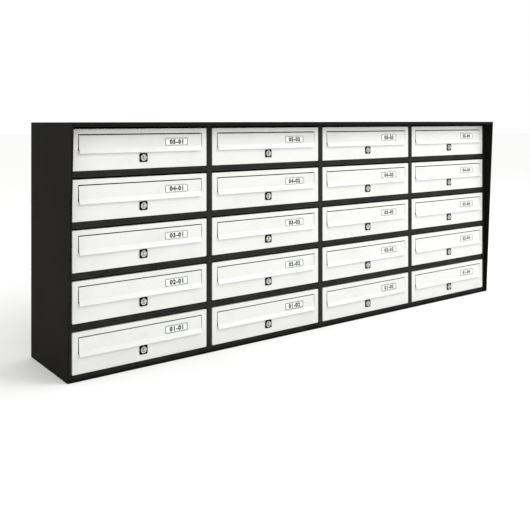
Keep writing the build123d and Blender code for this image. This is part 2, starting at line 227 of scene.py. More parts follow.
def hotDipGalvanisedSheet():
    # steel dipped in zinc: grey crystals of different brightness and gloss, a centimetre or so across
    material, tree = newMaterial("hotDipGalvanisedSheet")
    place = addNode(tree, "ShaderNodeTexCoord").outputs["Object"]
    crystals = addNode(tree, "ShaderNodeTexVoronoi",
                       {"Scale": perMillimetre(zincLook["spangle"]), "Randomness": 1.0}, {"Vector": place})
    haze = addNode(tree, "ShaderNodeTexNoise", {"Scale": perMillimetre(zincLook["haze"]), "Detail": 5.0},
                   {"Vector": place})
    value = addNode(tree, "ShaderNodeRGBToBW", links={"Color": crystals.outputs["Color"]}).outputs[0]
    mixed = addNode(tree, "ShaderNodeMath", {"operation": "MULTIPLY_ADD", 1: 0.5},
                    {0: haze.outputs["Fac"], 2: value})
    colour = addNode(tree, "ShaderNodeValToRGB",
                     {"stops": [(0.3, linear(zincLook["dull"])), (1.0, linear(zincLook["bright"]))]},
                     {"Fac": mixed.outputs[0]}).outputs["Color"]
    gloss = addNode(tree, "ShaderNodeMapRange",
                    {"To Min": zincLook["roughness"] - 0.08, "To Max": zincLook["roughness"] + 0.16},
                    {"Value": value})
    shader = addNode(tree, "ShaderNodeBsdfPrincipled", {"Metallic": 1.0},
                     {"Base Color": colour, "Roughness": gloss.outputs[0]})
    addNode(tree, "ShaderNodeOutputMaterial", links={"Surface": shader.outputs[0]})
    return material


nickelLook = {"colour": "#DADAD2", "shade": "#BDBDB4", "roughness": 0.24, "smear": 4.0, "turning": 2.2,
              "turningHeight": 0.006}


def nickelPlatedDieCasting():
    # zinc alloy turned on a lathe and nickel plated: a warm bright metal with rings about its axis, coarser
    # than real so that they show
    material, tree = newMaterial("nickelPlatedDieCasting")
    place = addNode(tree, "ShaderNodeTexCoord").outputs["Object"]
    # a wave texture runs through 20 radians in each unit, so its scale takes this factor
    ringScale = perMillimetre(nickelLook["turning"]) * 2 * math.pi / 20
    rings = addNode(tree, "ShaderNodeTexWave",
                    {"wave_type": "RINGS", "rings_direction": "Y", "Scale": ringScale, "Distortion": 0.6,
                     "Detail": 2.0, "Detail Scale": 2.0}, {"Vector": place})
    smear = addNode(tree, "ShaderNodeTexNoise", {"Scale": perMillimetre(nickelLook["smear"]), "Detail": 3.0},
                    {"Vector": place})
    colour = addNode(tree, "ShaderNodeValToRGB",
                     {"stops": [(0.35, linear(nickelLook["shade"])), (0.6, linear(nickelLook["colour"]))]},
                     {"Fac": smear.outputs["Fac"]}).outputs["Color"]
    gloss = addNode(tree, "ShaderNodeMapRange",
                    {"To Min": nickelLook["roughness"] - 0.05, "To Max": nickelLook["roughness"] + 0.1},
                    {"Value": smear.outputs["Fac"]})
    bump = addNode(tree, "ShaderNodeBump", {"Strength": 0.4, "Distance": nickelLook["turningHeight"] * mm},
                   {"Height": rings.outputs["Fac"]})
    shader = addNode(tree, "ShaderNodeBsdfPrincipled", {"Metallic": 1.0},
                     {"Base Color": colour, "Roughness": gloss.outputs[0], "Normal": bump.outputs[0]})
    addNode(tree, "ShaderNodeOutputMaterial", links={"Surface": shader.outputs[0]})
    return material


absLook = {"colour": "#080808", "shade": "#040404", "roughness": 0.42, "spark": 0.45, "sparkHeight": 0.012}


def mouldedAbs():
    # ABS moulded in a lightly spark-eroded tool: deep black with a fine even sheen
    material, tree = newMaterial("mouldedAbsBlack")
    place = addNode(tree, "ShaderNodeTexCoord").outputs["Object"]
    grain = addNode(tree, "ShaderNodeTexNoise", {"Scale": perMillimetre(absLook["spark"]), "Detail": 2.0},
                    {"Vector": place})
    colour = addNode(tree, "ShaderNodeValToRGB",
                     {"stops": [(0.3, linear(absLook["shade"])), (0.8, linear(absLook["colour"]))]},
                     {"Fac": grain.outputs["Fac"]}).outputs["Color"]
    gloss = addNode(tree, "ShaderNodeMapRange",
                    {"To Min": absLook["roughness"] - 0.06, "To Max": absLook["roughness"] + 0.1},
                    {"Value": grain.outputs["Fac"]})
    bump = addNode(tree, "ShaderNodeBump", {"Strength": 0.5, "Distance": absLook["sparkHeight"] * mm},
                   {"Height": grain.outputs["Fac"]})
    shader = addNode(tree, "ShaderNodeBsdfPrincipled", {"IOR": 1.35, "Specular IOR Level": 0.12},
                     {"Base Color": colour, "Roughness": gloss.outputs[0], "Normal": bump.outputs[0]})
    addNode(tree, "ShaderNodeOutputMaterial", links={"Surface": shader.outputs[0]})
    return material


# edge and edgeShade are the rim's painted grey-green, partly the acrylic edge's look and partly painted shade
# of the recess
acrylicLook = {"clear": "#FDFEFD", "edge": "#868E8B", "edgeShade": "#727A77", "roughness": 0.06, "bend": 1.49,
               "smear": 9.0, "edgeHaze": 1.5}


def castAcrylic():
    # thin cast acrylic: nearly invisible face on, with a gloss that grows at a slant and a few faint smears
    material, tree = newMaterial("castAcrylicClear")
    place = addNode(tree, "ShaderNodeTexCoord").outputs["Object"]
    smears = addNode(tree, "ShaderNodeTexNoise",
                     {"Scale": perMillimetre(acrylicLook["smear"]), "Detail": 3.0, "Distortion": 0.8},
                     {"Vector": place})
    haze = addNode(tree, "ShaderNodeMapRange",
                   {"From Min": 0.35, "From Max": 0.7, "To Min": acrylicLook["roughness"],
                    "To Max": acrylicLook["roughness"] + 0.12}, {"Value": smears.outputs["Fac"]})
    clear = addNode(tree, "ShaderNodeBsdfTransparent", {"Color": linear(acrylicLook["clear"])})
    glossy = addNode(tree, "ShaderNodeBsdfGlossy", {"Color": grey(1.0)}, {"Roughness": haze.outputs[0]})
    slant = addNode(tree, "ShaderNodeFresnel", {"IOR": acrylicLook["bend"]})
    inside = addNode(tree, "ShaderNodeNewGeometry").outputs["Backfacing"]
    outer = addNode(tree, "ShaderNodeMath", {"operation": "SUBTRACT", 0: 1.0}, {1: inside})
    amount = addNode(tree, "ShaderNodeMath", {"operation": "MULTIPLY"},
                     {0: slant.outputs[0], 1: outer.outputs[0]})
    shader = addNode(tree, "ShaderNodeMixShader",
                     links={0: amount.outputs[0], 1: clear.outputs[0], 2: glossy.outputs[0]})
    addNode(tree, "ShaderNodeOutputMaterial", links={"Surface": shader.outputs[0]})
    return material


def acrylicEdgeWithPaintedShade():
    # the cut edge of clear acrylic, painted an opaque grey-green: it stands in for the light the edge carries
    # along the sheet and for the shade of the recess round the window
    material, tree = newMaterial("acrylicEdgeWithPaintedShade")
    place = addNode(tree, "ShaderNodeTexCoord").outputs["Object"]
    haze = addNode(tree, "ShaderNodeTexNoise",
                   {"Scale": perMillimetre(acrylicLook["edgeHaze"]), "Detail": 3.0}, {"Vector": place})
    colour = addNode(tree, "ShaderNodeValToRGB",
                     {"stops": [(0.3, linear(acrylicLook["edgeShade"])), (0.7, linear(acrylicLook["edge"]))]},
                     {"Fac": haze.outputs["Fac"]}).outputs["Color"]
    shader = addNode(tree, "ShaderNodeBsdfPrincipled", {"IOR": acrylicLook["bend"], "Roughness": 0.3},
                     {"Base Color": colour})
    addNode(tree, "ShaderNodeOutputMaterial", links={"Surface": shader.outputs[0]})
    return material


cardLook = {"colour": "#F8F8F5", "shade": "#ECEDE8", "roughness": 0.85, "fibre": 0.8, "fibreHeight": 0.02}


def uncoatedCard():
    # pulp card cut from a sheet: soft white with short fibres and no gloss
    material, tree = newMaterial("uncoatedCardWhite")
    place = addNode(tree, "ShaderNodeTexCoord").outputs["Object"]
    fibres = addNode(tree, "ShaderNodeTexNoise",
                     {"Scale": perMillimetre(cardLook["fibre"]), "Detail": 5.0, "Distortion": 1.5},
                     {"Vector": place})
    colour = addNode(tree, "ShaderNodeValToRGB",
                     {"stops": [(0.3, linear(cardLook["shade"])), (0.7, linear(cardLook["colour"]))]},
                     {"Fac": fibres.outputs["Fac"]}).outputs["Color"]
    bump = addNode(tree, "ShaderNodeBump", {"Strength": 0.4, "Distance": cardLook["fibreHeight"] * mm},
                   {"Height": fibres.outputs["Fac"]})
    shader = addNode(tree, "ShaderNodeBsdfPrincipled", {"Roughness": cardLook["roughness"]},
                     {"Base Color": colour, "Normal": bump.outputs[0]})
    addNode(tree, "ShaderNodeOutputMaterial", links={"Surface": shader.outputs[0]})
    return material


tonerLook = {"colour": "#202B29", "shade": "#131C1A", "roughness": 0.45, "sheen": 0.15, "mottle": 1.1}


def laserToner():
    # fused toner: a dark green-grey film, slightly glossy and a little uneven
    material, tree = newMaterial("laserTonerDark")
    place = addNode(tree, "ShaderNodeTexCoord").outputs["Object"]
    mottle = addNode(tree, "ShaderNodeTexNoise", {"Scale": perMillimetre(tonerLook["mottle"]), "Detail": 4.0},
                     {"Vector": place})
    colour = addNode(tree, "ShaderNodeValToRGB",
                     {"stops": [(0.3, linear(tonerLook["shade"])), (0.75, linear(tonerLook["colour"]))]},
                     {"Fac": mottle.outputs["Fac"]}).outputs["Color"]
    shader = addNode(tree, "ShaderNodeBsdfPrincipled",
                     {"Roughness": tonerLook["roughness"], "Specular IOR Level": tonerLook["sheen"]},
                     {"Base Color": colour})
    addNode(tree, "ShaderNodeOutputMaterial", links={"Surface": shader.outputs[0]})
    return material


rubberLook = {"colour": "#232322", "shade": "#141414", "roughness": 0.8, "bloom": 2.2}


def mouldedRubber():
    # compression-moulded rubber: dull black with a dusty bloom
    material, tree = newMaterial("mouldedRubberBlack")
    place = addNode(tree, "ShaderNodeTexCoord").outputs["Object"]
    bloom = addNode(tree, "ShaderNodeTexNoise", {"Scale": perMillimetre(rubberLook["bloom"]), "Detail": 4.0},
                    {"Vector": place})
    colour = addNode(tree, "ShaderNodeValToRGB",
                     {"stops": [(0.35, linear(rubberLook["shade"])), (0.8, linear(rubberLook["colour"]))]},
                     {"Fac": bloom.outputs["Fac"]}).outputs["Color"]
    shader = addNode(tree, "ShaderNodeBsdfPrincipled", {"Roughness": rubberLook["roughness"], "IOR": 1.52},
                     {"Base Color": colour})
    addNode(tree, "ShaderNodeOutputMaterial", links={"Surface": shader.outputs[0]})
    return material


platedLook = {"colour": "#C3C7C9", "shade": "#9EA3A6", "shine": 0.22, "dull": 0.42, "haze": 3.0}


def zincPlatedSteel():
    # bright zinc electroplated on drawn steel: cool grey metal with a faint haze
    material, tree = newMaterial("zincPlatedSteel")
    place = addNode(tree, "ShaderNodeTexCoord").outputs["Object"]
    haze = addNode(tree, "ShaderNodeTexNoise", {"Scale": perMillimetre(platedLook["haze"]), "Detail": 4.0},
                   {"Vector": place})
    colour = addNode(tree, "ShaderNodeValToRGB",
                     {"stops": [(0.3, linear(platedLook["shade"])), (0.7, linear(platedLook["colour"]))]},
                     {"Fac": haze.outputs["Fac"]}).outputs["Color"]
    gloss = addNode(tree, "ShaderNodeMapRange", {"To Min": platedLook["shine"], "To Max": platedLook["dull"]},
                    {"Value": haze.outputs["Fac"]})
    shader = addNode(tree, "ShaderNodeBsdfPrincipled", {"Metallic": 1.0},
                     {"Base Color": colour, "Roughness": gloss.outputs[0]})
    addNode(tree, "ShaderNodeOutputMaterial", links={"Surface": shader.outputs[0]})
    return material


# colours of the painted shade in the lock's keyway and in the groove round its plug
keywayShadeLook = {"colour": "#1A1A19", "shade": "#050505", "roughness": 0.7, "sheen": 0.2, "speck": 0.5}


def paintedKeywayShade():
    # painted shade: an almost black colour with grey specks, laid in the keyway and in the groove round the
    # plug, where shade falls
    material, tree = newMaterial("paintedKeywayShade")
    place = addNode(tree, "ShaderNodeTexCoord").outputs["Object"]
    specks = addNode(tree, "ShaderNodeTexNoise", {"Scale": perMillimetre(keywayShadeLook["speck"]), "Detail": 3.0},
                     {"Vector": place})
    colour = addNode(tree, "ShaderNodeValToRGB",
                     {"stops": [(0.4, linear(keywayShadeLook["shade"])), (0.8, linear(keywayShadeLook["colour"]))]},
                     {"Fac": specks.outputs["Fac"]}).outputs["Color"]
    shader = addNode(tree, "ShaderNodeBsdfPrincipled",
                     {"Roughness": keywayShadeLook["roughness"], "Specular IOR Level": keywayShadeLook["sheen"]},
                     {"Base Color": colour})
    addNode(tree, "ShaderNodeOutputMaterial", links={"Surface": shader.outputs[0]})
    return material


whiteCoat = semiGlossPowderCoat()
darkCoat = fineTexturePowderCoat()
barCoat = satinCoatedExtrusion()
zincSheet = hotDipGalvanisedSheet()
nickel = nickelPlatedDieCasting()
blackAbs = mouldedAbs()
clearAcrylic = castAcrylic()
acrylicRimWithPaintedShade = acrylicEdgeWithPaintedShade()
card = uncoatedCard()
toner = laserToner()
rubber = mouldedRubber()
zincSteel = zincPlatedSteel()
keywayShade = paintedKeywayShade()
print("materials made")

# mesh helpers


def roundedPath(points, radii, steps=5):
    path = [Vector(points[0])]  # an open outline whose corners turn through arcs of these radii
    for before, corner, after, radius in zip(points, points[1:], points[2:], radii):
        before, corner, after = Vector(before), Vector(corner), Vector(after)
        back, ahead = (before - corner).normalized(), (after - corner).normalized()
        half = back.angle(ahead) / 2
        reach = radius / math.tan(half)
        centre = corner + (back + ahead).normalized() * radius / math.sin(half)
        start, end = corner + back * reach, corner + ahead * reach
        for step in range(steps + 1):
            spot = start.lerp(end, step / steps) - centre
            path.append(centre + spot.normalized() * radius)
    path.append(Vector(points[-1]))
    return path


def roundedRectangle(width, height, radius, steps=4, centre=(0, 0)):
    outline = []  # anticlockwise from the right side
    for turn, (sx, sz) in enumerate(((1, 1), (-1, 1), (-1, -1), (1, -1))):
        middle = Vector((centre[0] + sx * (width / 2 - radius), centre[1] + sz * (height / 2 - radius)))
        for step in range(steps + 1):
            angle = math.radians(90) * (turn + step / steps)
            outline.append(middle + Vector((math.cos(angle), math.sin(angle))) * radius)
    return outline


def circle(radius, steps=40, centre=(0, 0)):
    angles = [2 * math.pi * step / steps for step in range(steps)]
    return [Vector(centre) + Vector((math.cos(a), math.sin(a))) * radius for a in angles]


def addLoop(mesh, outline, y):
    return [mesh.verts.new((x, y, z)) for x, z in outline]


def bridge(mesh, one, other):
    for i in range(len(one)):
        j = (i + 1) % len(one)
        mesh.faces.new((one[i], one[j], other[j], other[i]))


def loopEdges(mesh, loop):
    pairs = zip(loop, loop[1:] + loop[:1])
    return [mesh.edges.get(pair) or mesh.edges.new(pair) for pair in pairs]


def fillBetween(mesh, *loops):
    edges = [edge for loop in loops for edge in loopEdges(mesh, loop)]
    bmesh.ops.triangle_fill(mesh, use_beauty=True, use_dissolve=False, edges=edges)


def extrudeSection(mesh, outline, lowX, highX):
    ends = [[mesh.verts.new((x, y, z)) for y, z in outline] for x in (lowX, highX)]  # a closed Y, Z outline
    bridge(mesh, ends[0], ends[1])
    for end in ends:
        mesh.faces.new(end)


def thicken(path, thickness):
    inner = []  # the same path, offset to its left, walked back
    for i, point in enumerate(path):
        ahead = path[min(i + 1, len(path) - 1)] - point
        behind = point - path[max(i - 1, 0)]
        sides = [Vector((-d.y, d.x)).normalized() for d in (behind, ahead) if d.length > 1e-9]
        side = sum(sides, Vector((0, 0))).normalized()
        inner.append(point + side * thickness / max(side.dot(sides[0]), 0.3))  # 0.3 keeps a mitre short
    return path + inner[::-1]


def solidPlate(mesh, outline, front, back):
    rims = [addLoop(mesh, outline, y) for y in (front, back)]  # a flat plate in X, Z
    bridge(mesh, rims[0], rims[1])
    for rim in rims:
        fillBetween(mesh, rim)


def latheY(mesh, profile, steps=48):
    rings = []  # radius, Y pairs turned about the Y axis
    for radius, y in profile:
        rings.append([mesh.verts.new((radius * math.cos(a), y, radius * math.sin(a)))
                      for a in [2 * math.pi * i / steps for i in range(steps)]])
    for one, other in zip(rings, rings[1:]):
        bridge(mesh, one, other)
    return rings


meshFinish = {"weld": 0.001, "sharpAngle": 32, "bevelAngle": 50, "bevelSteps": 2, "faceWeight": 90}


def meshFrom(name, build, materials, edge=0.0):
    mesh = bmesh.new()  # builds one mesh, rounds its sharp edges and sets its shading
    build(mesh)
    bmesh.ops.remove_doubles(mesh, verts=mesh.verts, dist=meshFinish["weld"] * mm)
    bmesh.ops.recalc_face_normals(mesh, faces=mesh.faces)
    data = bpy.data.meshes.new(name)
    mesh.to_mesh(data)
    mesh.free()
    for material in materials:
        data.materials.append(material)
    data.shade_smooth()
    data.set_sharp_from_angle(angle=math.radians(meshFinish["sharpAngle"]))
    piece = bpy.data.objects.new(name, data)
    bpy.context.scene.collection.objects.link(piece)
    if edge:
        bevel = piece.modifiers.new("edge", "BEVEL")
        bevel.width = edge * mm
        bevel.segments = meshFinish["bevelSteps"]
        bevel.limit_method = "ANGLE"
        bevel.angle_limit = math.radians(meshFinish["bevelAngle"])
    weighted = piece.modifiers.new("shading", "WEIGHTED_NORMAL")
    weighted.keep_sharp = True
    weighted.weight = meshFinish["faceWeight"]
    bpy.context.view_layer.update()
    final = bpy.data.meshes.new_from_object(piece.evaluated_get(bpy.context.evaluated_depsgraph_get()))
    final.name = name
    bpy.data.objects.remove(piece)
    return final


def place(name, data, spot, body, slot, replaces=()):
    piece = bpy.data.objects.new(name, data)
    bpy.context.scene.collection.objects.link(piece)
    piece.location = spot
    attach(piece, body)
    if replaces:
        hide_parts(*replaces)
    return piece


# door leaf: a folded pan with a window for the flap, made with its top edge at Z = 0 and its face at Y = 0

leafShape = {"sheet": 1.5, "depth": 12.0, "bend": 1.6, "insideBend": 0.3, "corner": 0.8, "windowTop": 12.4,
             "windowBottom": 52.0, "windowHalf": 171.0, "windowCorner": 1.0, "lockHole": 8.1, "lug": 2.0,
             "lugRear": 11.0, "lugBelow": 5.5, "lugCorner": 3.0, "edge": 0.3, "lugEdge": 0.25}


def buildLeaf(mesh):
    s = {name: value * mm for name, value in leafShape.items()}
    width, height = doorSize["width"], doorSize["height"]
    middle = (0, -height / 2)
    bendSteps = 4

    def pan(shrink, bend):
        loops = []
        stations = [(0.0, s["depth"]), (0.0, bend + shrink)]
        for step in range(1, bendSteps + 1):
            turn = math.radians(90) * step / bendSteps
            stations.append((bend * (1 - math.cos(turn)), bend * (1 - math.sin(turn)) + shrink))
        for inset, y in stations:
            across, tall = width - 2 * (shrink + inset), height - 2 * (shrink + inset)
            corner = s["corner"] + bend - inset * 0.6  # the corner tightens as the bend turns in
            loops.append(addLoop(mesh, roundedRectangle(across, tall, corner, 5, middle), y))
        for one, other in zip(loops, loops[1:]):
            bridge(mesh, one, other)
        return loops[0], loops[-1]

    outerRear, outerFront = pan(0.0, s["bend"])
    innerRear, innerFront = pan(s["sheet"], s["insideBend"])
    bridge(mesh, outerRear, innerRear)
    windowWidth, windowHeight = 2 * s["windowHalf"], s["windowBottom"] - s["windowTop"]
    windowMiddle = (0, -(s["windowTop"] + s["windowBottom"]) / 2)
    rims = []
    window = roundedRectangle(windowWidth, windowHeight, s["windowCorner"], 3, windowMiddle)
    hole = circle(s["lockHole"], centre=(0, -lockDrop))
    for outline in (window, hole):
        front, back = addLoop(mesh, outline, 0.0), addLoop(mesh, outline, s["sheet"])
        bridge(mesh, front, back)
        rims.append((front, back))
    fillBetween(mesh, outerFront, rims[0][0], rims[1][0])
    fillBetween(mesh, innerFront, rims[0][1], rims[1][1])


def buildLeafInside(mesh):
    s = {name: value * mm for name, value in leafShape.items()}
    sill = [(s["sheet"], -s["windowBottom"]), (s["depth"], -s["windowBottom"]),
            (s["depth"], -s["windowBottom"] - s["sheet"]), (s["sheet"], -s["windowBottom"] - s["sheet"])]
    extrudeSection(mesh, sill, -s["windowHalf"], s["windowHalf"])
    low = -flapDrop - s["lugBelow"]
    lug = roundedPath([(s["sheet"], -s["windowTop"]), (s["lugRear"], -s["windowTop"]), (s["lugRear"], low),
                       (s["sheet"], low)], [s["lugCorner"], s["lugCorner"]])
    for side in (-1, 1):
        inner = side * s["windowHalf"]
        extrudeSection(mesh, lug, inner, inner + side * s["lug"])


# letter flap: curled over its rod at the top, a leaning face, then a lip that stands out

flapShape = {"half": 169.0, "top": 15.0, "face": 31.0, "lip": 12.5, "lean": 1.2, "flare": 5.3, "sheet": 1.5,
             "knuckle": 3.5, "rod": 2.0, "rodHalf": 174.5, "rodEdge": 0.3, "topBend": 1.4, "lipBend": 4.0,
             "curlFrom": -150, "curlTo": 90, "edge": 0.35}


def buildFlap(mesh):
    s = {name: value * mm for name, value in flapShape.items()}
    axis = Vector((flapSetBack, -flapDrop))
    curl = []
    curlSteps = 12
    for step in range(curlSteps + 1):  # from under the rod, round its back, to above it
        turned = flapShape["curlFrom"] + (flapShape["curlTo"] - flapShape["curlFrom"]) * step / curlSteps
        angle = math.radians(turned)
        curl.append(axis + Vector((math.cos(angle), math.sin(angle))) * s["knuckle"])
    lipTop = -s["top"] - s["face"]
    points = [curl[-1], (0, -s["top"]), (-s["lean"], lipTop), (-s["lean"] - s["flare"], lipTop - s["lip"])]
    path = curl[:-1] + roundedPath(points, [s["topBend"], s["lipBend"]])
    extrudeSection(mesh, thicken(path, s["sheet"]), -s["half"], s["half"])


def buildRod(mesh):
    s = {name: value * mm for name, value in flapShape.items()}
    thin, short = s["rod"] - s["rodEdge"], s["rodHalf"] - s["rodEdge"]
    profile = [(0.0, -s["rodHalf"]), (thin, -s["rodHalf"]), (s["rod"], -short), (s["rod"], short),
               (thin, s["rodHalf"]), (0.0, s["rodHalf"])]
    rings = []
    for radius, x in profile:
        outline = circle(radius, 24, (flapSetBack, -flapDrop))
        rings.append([mesh.verts.new((x, y, z)) for y, z in outline])
    for one, other in zip(rings, rings[1:]):
        bridge(mesh, one, other)


# name plate: a clear window over a card, on the flap's leaning face

plateShape = {"width": 65.0, "height": 19.0, "thick": 1.2, "corner": 2.0, "edge": 0.35, "centreX": 94.2,
              "centreDrop": 19.5, "pocketWidth": 61.0, "pocketHeight": 15.0, "pocket": 0.4,
              "pocketCorner": 0.5, "cardPlay": 0.4, "cardCorner": 0.4, "cardThick": 0.34, "cardGap": 0.01,
              "digit": 15.0, "bold": 1.05, "toner": 0.02, "spread": 1.22}
faceLean = Matrix.Rotation(-math.atan2(flapShape["lean"], flapShape["face"]), 4, "X")


def onFlapFace(x, out, up):
    spot = faceLean @ Vector((x, -out, up))  # out is the height over the flap's face
    return spot + Vector((0, 0, -flapShape["top"] * mm))


def buildWindow(mesh):
    s = {name: value * mm for name, value in plateShape.items()}
    centre = Vector((s["centreX"], -s["centreDrop"]))
    edge, front = s["edge"], -s["thick"]
    stations = ((edge, front), (0.3 * edge, front + 0.3 * edge), (0, front + edge), (0, 0))
    loops = []
    for inset, y in stations:
        across, tall = s["width"] - 2 * inset, s["height"] - 2 * inset
        loops.append(addLoop(mesh, roundedRectangle(across, tall, s["corner"] - inset, 5, centre), y))
    for one, other in zip(loops, loops[1:]):
        bridge(mesh, one, other)
    for face in mesh.faces:
        face.material_index = 1  # the rim is the sheet's cut edge, painted darker as the shade of the recess round the window
    inner = roundedRectangle(s["pocketWidth"], s["pocketHeight"], s["pocketCorner"], 3, centre)
    pocket = [addLoop(mesh, inner, 0), addLoop(mesh, inner, -s["pocket"])]
    bridge(mesh, pocket[0], pocket[1])
    flat = set(mesh.faces)
    fillBetween(mesh, loops[0])
    fillBetween(mesh, loops[-1], pocket[0])
    fillBetween(mesh, pocket[1])
    for face in set(mesh.faces) - flat:
        face.material_index = 0
    for vertex in mesh.verts:
        vertex.co = onFlapFace(vertex.co.x, -vertex.co.y, vertex.co.z)


def buildCard(mesh):
    s = {name: value * mm for name, value in plateShape.items()}
    width, height = s["pocketWidth"] - s["cardPlay"], s["pocketHeight"] - s["cardPlay"]
    outline = roundedRectangle(width, height, s["cardCorner"], 3, (s["centreX"], -s["centreDrop"]))
    solidPlate(mesh, outline, -s["cardThick"], -s["cardGap"])
    for vertex in mesh.verts:
        vertex.co = onFlapFace(vertex.co.x, -vertex.co.y, vertex.co.z)


def digitsMesh(name, words):
    s = {name: value * mm for name, value in plateShape.items()}
    curve = bpy.data.curves.new(name, "FONT")
    curve.body = words
    curve.size = s["digit"]
    curve.offset = s["bold"]
    curve.extrude = s["toner"]
    curve.align_x = "CENTER"
    curve.align_y = "CENTER"
    curve.space_character = plateShape["spread"]
    piece = bpy.data.objects.new(name, curve)
    bpy.context.scene.collection.objects.link(piece)
    bpy.context.view_layer.update()
    data = bpy.data.meshes.new_from_object(piece.evaluated_get(bpy.context.evaluated_depsgraph_get()))
    bpy.data.objects.remove(piece)
    middleX = (min(v.co.x for v in data.vertices) + max(v.co.x for v in data.vertices)) / 2
    middleY = (min(v.co.y for v in data.vertices) + max(v.co.y for v in data.vertices)) / 2
    for vertex in data.vertices:
        x, y, z = vertex.co
        vertex.co = onFlapFace(x - middleX + s["centreX"], s["cardThick"] + s["toner"] + z,
                               y - middleY - s["centreDrop"])
    data.materials.clear()
    data.materials.append(toner)
    return data


# lock: square plate, barrel with its nut, plug with a key slot, cam and screw, made about the lock's axis

lockShape = {"plate": 22.0, "plateCorner": 3.0, "plateThick": 1.8, "plateEdge": 0.5, "hole": 8.1,
             "holeEdge": 0.3, "barrel": 8.0, "proud": 0.8, "rear": 20.0, "rearEdge": 0.4, "thread": 1.0,
             "threadDepth": 0.35, "nutFlats": 24.0, "nut": 4.0, "nutPlay": 0.02, "sheet": 1.5, "plug": 5.45,
             "plugPlay": 0.1, "plugSink": 0.25, "plugEdge": 0.8, "keyWidth": 1.4, "keyHeight": 7.0,
             "keyCorner": 0.35, "keyDepth": 3.0, "keyEdge": 0.9, "keyMouth": 0.6, "camReach": 24.0,
             "camWidth": 12.0, "cam": 2.0, "camPlay": 0.2, "camEdge": 0.2, "screw": 4.0, "screwHead": 2.2}
mouthRound = ((0.0, 0.5), (0.35, 0.12), (0.6, 0.0))  # out from the barrel's bore, and back
shoulderRound = ((0.6, 0.0), (0.2, 0.15), (0.0, 0.55))  # in from the barrel's side, and back
screwDome = ((1.0, 0.6), (0.8, 0.92), (0.5, 1.0), (0.0, 1.0))  # shares of the head's radius and height


def buildLockPlate(mesh):
    s = {name: value * mm for name, value in lockShape.items()}
    loops = []
    edge = s["plateEdge"]
    edgeSteps = 4
    for step in range(edgeSteps + 1):
        turn = math.radians(90) * step / edgeSteps
        inset, y = edge * (1 - math.sin(turn)), -s["plateThick"] + edge * (1 - math.cos(turn))
        across = s["plate"] - 2 * inset
        loops.append(addLoop(mesh, roundedRectangle(across, across, s["plateCorner"] - inset, 6), y))
    loops.append(addLoop(mesh, roundedRectangle(s["plate"], s["plate"], s["plateCorner"], 6), 0))
    for one, other in zip(loops, loops[1:]):
        bridge(mesh, one, other)
    holeRings = ((s["holeEdge"], -s["plateThick"]), (0, -s["plateThick"] + s["holeEdge"]), (0, 0))
    hole = [addLoop(mesh, circle(s["hole"] + wider), y) for wider, y in holeRings]
    bridge(mesh, hole[0], hole[1])
    bridge(mesh, hole[1], hole[2])
    fillBetween(mesh, loops[0], hole[0])
    fillBetween(mesh, loops[-1], hole[2])


def buildBarrel(mesh):
    s = {name: value * mm for name, value in lockShape.items()}
    front = -s["plateThick"] - s["proud"]
    bore = s["plug"] + s["plugPlay"]
    y = s["sheet"] + s["nut"]
    profile = [(bore, s["rear"])]
    profile += [(bore + out * mm, front + back * mm) for out, back in mouthRound]
    profile += [(s["barrel"] - inset * mm, front + back * mm) for inset, back in shoulderRound]
    profile.append((s["barrel"], y))
    while y < s["rear"] - s["thread"]:
        profile += [(s["barrel"] - s["threadDepth"], y + s["thread"] / 2), (s["barrel"], y + s["thread"])]
        y += s["thread"]
    profile += [(s["barrel"] - s["rearEdge"], s["rear"]), (bore, s["rear"])]
    latheY(mesh, profile)
    nut = circle(s["nutFlats"] / 2 / math.cos(math.radians(30)), 6)
    low, high = s["sheet"], s["sheet"] + s["nut"]
    rims = []
    for outline in (nut, circle(s["barrel"] + s["nutPlay"], 36)):
        loops = [addLoop(mesh, outline, y) for y in (low, high)]
        bridge(mesh, loops[0], loops[1])
        rims.append(loops)
    for side in (0, 1):
        fillBetween(mesh, rims[0][side], rims[1][side])


def buildPlug(mesh):
    s = {name: value * mm for name, value in lockShape.items()}
    front = -s["plateThick"] - s["proud"] + s["plugSink"]
    edge = s["plugEdge"]
    stations = ((edge, front), (0.3 * edge, front + 0.3 * edge), (0, front + edge),
                (0, s["rear"] + s["camPlay"]))
    loops = [addLoop(mesh, circle(s["plug"] - inset), y) for inset, y in stations]
    for one, other in zip(loops, loops[1:]):
        bridge(mesh, one, other)
    for face in mesh.faces:  # painted shade in the groove round the plug
        face.material_index = 1 if face.calc_center_median().y < front + edge else 0
    key = roundedRectangle(s["keyWidth"], s["keyHeight"], s["keyCorner"])
    wide = roundedRectangle(s["keyWidth"] + s["keyEdge"], s["keyHeight"] + s["keyEdge"], s["keyMouth"])
    slot = [addLoop(mesh, wide, front), addLoop(mesh, key, front + s["keyEdge"] / 2),
            addLoop(mesh, key, front + s["keyDepth"])]
    outside = set(mesh.faces)
    bridge(mesh, slot[0], slot[1])
    bridge(mesh, slot[1], slot[2])
    fillBetween(mesh, slot[2])
    # the key slot's walls take the painted shade too
    for face in set(mesh.faces) - outside:
        face.material_index = 1
    fillBetween(mesh, loops[0], slot[0])
    fillBetween(mesh, loops[-1])


def buildCam(mesh):
    s = {name: value * mm for name, value in lockShape.items()}
    half, arcSteps = s["camWidth"] / 2, 16
    outline = []
    for middle, start in ((0, 90), (s["camReach"] - half, -90)):
        for step in range(arcSteps + 1):
            angle = math.radians(start + 180 * step / arcSteps)
            outline.append(Vector((middle, 0)) + Vector((math.cos(angle), math.sin(angle))) * half)
    low = s["rear"] + s["camPlay"]
    high = low + s["cam"]
    solidPlate(mesh, outline, low, high)
    dome = [(s["screw"] * across, high + s["screwHead"] * up) for across, up in screwDome]
    latheY(mesh, [(s["screw"], high)] + dome, 32)


